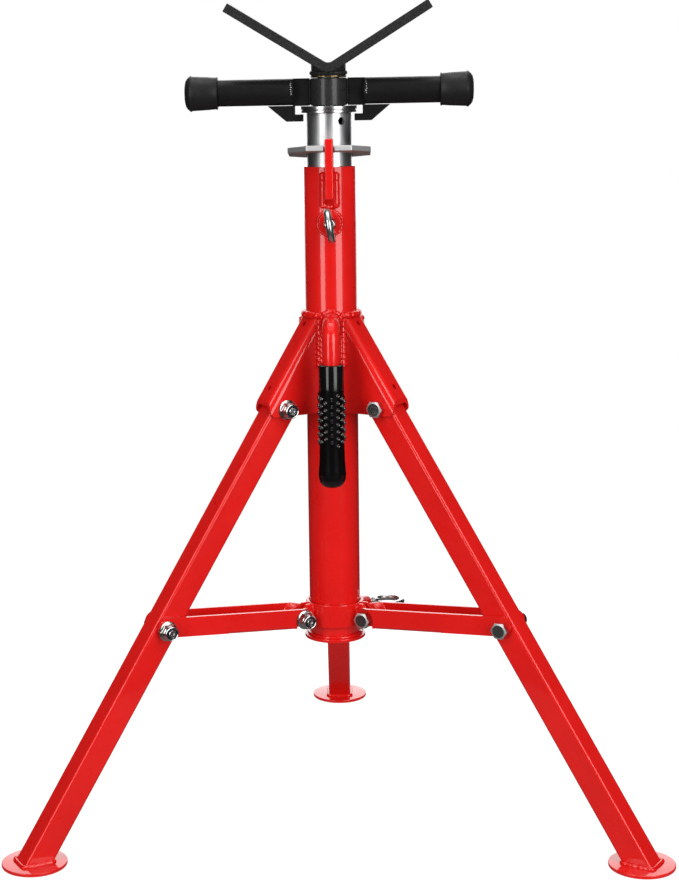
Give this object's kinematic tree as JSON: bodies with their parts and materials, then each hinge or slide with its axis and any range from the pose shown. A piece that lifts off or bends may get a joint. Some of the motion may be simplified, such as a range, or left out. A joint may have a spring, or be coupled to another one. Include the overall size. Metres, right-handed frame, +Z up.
{
  "type": "pipe jack stand",
  "caption": "Folding tripod stand that props a pipe: braced square-tube legs, a telescoping round mast with a lock plate, a jack nut with two handles and a bent V head.",
  "frame": {"origin": "middle of the footprint's box on the floor, 79 mm behind the mast's axis", "axes": "+Z up along the mast, +X along the V head and the handles, -Y towards the carry handle at the front"},
  "size_m": [0.6068, 0.5334, 0.7638],
  "materials": {
    "red_paint": "glossy red powder coat",
    "black_paint": "black hammertone enamel",
    "zinc": "bright zinc plate with fine drawn lines",
    "bolt_zinc": "bright zinc plate",
    "rubber": "satin black rubber",
    "grip_rubber": "glossy black vinyl grip with raised bumps",
    "screw_steel": "yellow passivated steel"
  },
  "bodies": {
    "stand": {"outer_tube": "red_paint", "stop_disc": "red_paint", "lock_post": "red_paint", "upper_clamp_boss": "red_paint", "carry_handle": "red_paint", "carry_handle_grip": "grip_rubber", "leg_bracket_left": "red_paint", "leg_bracket_right": "red_paint", "leg_bracket_rear": "red_paint", "pivot_bolt_left": "bolt_zinc", "pivot_bolt_right": "bolt_zinc", "pivot_bolt_rear": "bolt_zinc", "pivot_nut_left": "bolt_zinc", "pivot_nut_right": "bolt_zinc", "pivot_nut_rear": "bolt_zinc"},
    "mast": {"inner_tube": "zinc", "mast_flange": "zinc"},
    "lock_plate": {"lock_plate": "zinc"},
    "upper_eye_bolt": {"upper_eye_bolt": "bolt_zinc"},
    "jack_nut": {"jack_nut": "black_paint", "hook_plate_left": "black_paint", "hook_plate_right": "black_paint", "handle_tube_left": "black_paint", "handle_tube_right": "black_paint", "handle_cap_left": "rubber", "handle_cap_right": "rubber"},
    "head": {"v_head": "black_paint", "jack_screw": "screw_steel"},
    "collar": {"collar": "red_paint", "lower_clamp_boss": "red_paint", "collar_bolt_left": "bolt_zinc", "collar_bolt_right": "bolt_zinc", "collar_bolt_rear": "bolt_zinc", "collar_nut_left": "bolt_zinc", "collar_nut_right": "bolt_zinc", "collar_nut_rear": "bolt_zinc"},
    "lower_eye_bolt": {"lower_eye_bolt": "bolt_zinc"},
    "leg_left": {"leg_left": "red_paint", "foot_left": "red_paint"},
    "leg_right": {"leg_right": "red_paint", "foot_right": "red_paint"},
    "leg_rear": {"leg_rear": "red_paint", "foot_rear": "red_paint"},
    "brace_left": {"brace_left": "red_paint", "brace_bolt_left": "bolt_zinc", "brace_nut_left": "bolt_zinc"},
    "brace_right": {"brace_right": "red_paint", "brace_bolt_right": "bolt_zinc", "brace_nut_right": "bolt_zinc"},
    "brace_rear": {"brace_rear": "red_paint", "brace_bolt_rear": "bolt_zinc", "brace_nut_rear": "bolt_zinc"}
  },
  "joints": [
    {"name": "mast_slide", "type": "slide", "parent": "stand", "child": "mast", "axis": [0, 0, 1], "range_m": [0, 0.38]},
    {"name": "jack_nut_turn", "type": "hinge", "parent": "mast", "child": "jack_nut", "pos_m": [0, -0.07895, 0.68], "axis": [0, 0, 1], "range_deg": [0, 16500]},
    {"name": "head_lift", "type": "slide", "parent": "mast", "child": "head", "axis": [0, 0, 1], "range_m": [0, 0.23]},
    {"name": "lock_plate_tilt", "type": "hinge", "parent": "stand", "child": "lock_plate", "pos_m": [0, -0.10505, 0.6328], "axis": [1, 0, 0], "range_deg": [0, 7]},
    {"name": "upper_clamp_turn", "type": "hinge", "parent": "stand", "child": "upper_eye_bolt", "pos_m": [0, -0.103, 0.566], "axis": [0, -1, 0], "range_deg": [0, 720]},
    {"name": "lower_clamp_turn", "type": "hinge", "parent": "collar", "child": "lower_eye_bolt", "pos_m": [0.02395, -0.06512, 0.19315], "axis": [0.866, 0.5, 0], "range_deg": [0, 720]},
    {"name": "collar_slide", "type": "slide", "parent": "stand", "child": "collar", "axis": [0, 0, 1], "range_m": [0, 0.115]},
    {"name": "leg_left_fold", "type": "hinge", "parent": "stand", "child": "leg_left", "pos_m": [-0.04876, -0.1071, 0.3963], "axis": [0.5, -0.866, 0], "range_deg": [0, 26]},
    {"name": "leg_right_fold", "type": "hinge", "parent": "stand", "child": "leg_right", "pos_m": [0.04876, -0.1071, 0.3963], "axis": [0.5, 0.866, 0], "range_deg": [0, 26]},
    {"name": "leg_rear_fold", "type": "hinge", "parent": "stand", "child": "leg_rear", "pos_m": [0, -0.02265, 0.3963], "axis": [-1, 0, 0], "range_deg": [0, 26]},
    {"name": "brace_left_fold", "type": "hinge", "parent": "collar", "child": "brace_left", "pos_m": [-0.03204, -0.09745, 0.1905], "axis": [0.5, -0.866, 0], "range_deg": [0, 75.5]},
    {"name": "brace_right_fold", "type": "hinge", "parent": "collar", "child": "brace_right", "pos_m": [0.03204, -0.09745, 0.1905], "axis": [0.5, 0.866, 0], "range_deg": [0, 75.5]},
    {"name": "brace_rear_fold", "type": "hinge", "parent": "collar", "child": "brace_rear", "pos_m": [0, -0.04195, 0.1905], "axis": [-1, 0, 0], "range_deg": [0, 75.5]}
  ],
  "couplings": [
    {"joint": "head_lift", "follows": "jack_nut_turn", "m_per_rad": 0.00079577},
    {"joint": "leg_left_fold", "follows": "collar_slide", "rad_per_m": 3.9214},
    {"joint": "leg_right_fold", "follows": "collar_slide", "rad_per_m": 3.9214},
    {"joint": "leg_rear_fold", "follows": "collar_slide", "rad_per_m": 3.9214},
    {"joint": "brace_left_fold", "follows": "collar_slide", "rad_per_m": 11.413},
    {"joint": "brace_right_fold", "follows": "collar_slide", "rad_per_m": 11.413},
    {"joint": "brace_rear_fold", "follows": "collar_slide", "rad_per_m": 11.413}
  ]
}
